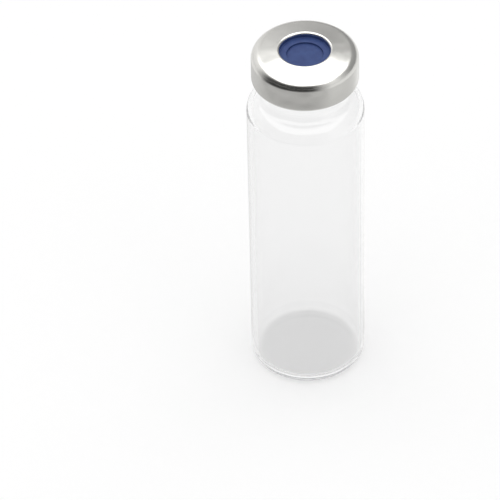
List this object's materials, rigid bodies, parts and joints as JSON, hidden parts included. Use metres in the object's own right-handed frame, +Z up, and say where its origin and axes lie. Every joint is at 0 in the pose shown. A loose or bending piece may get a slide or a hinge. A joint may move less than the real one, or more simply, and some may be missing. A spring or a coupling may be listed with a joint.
{
  "type": "glass sample vial",
  "caption": "Tall round crimp-top glass sample vial with a dished base and narrow neck, sealed by a blue septum under a crimped aluminium cap with an open centre.",
  "frame": {"origin": "centre of the base, on the surface that the vial stands on", "axes": "+Z up along the vial's axis, from the base to the cap; the vial is round, so +X and +Y are free"},
  "size_m": [0.023, 0.023, 0.0782],
  "materials": {
    "clear_glass": "clear, fire-polished tube glass",
    "blue_rubber": "smooth moulded rubber, satin",
    "cap_aluminium": "satin rolled sheet"
  },
  "bodies": {
    "root": {"vial_glass": "clear_glass", "septum": "blue_rubber", "crimp_cap": "cap_aluminium"}
  },
  "joints": []
}
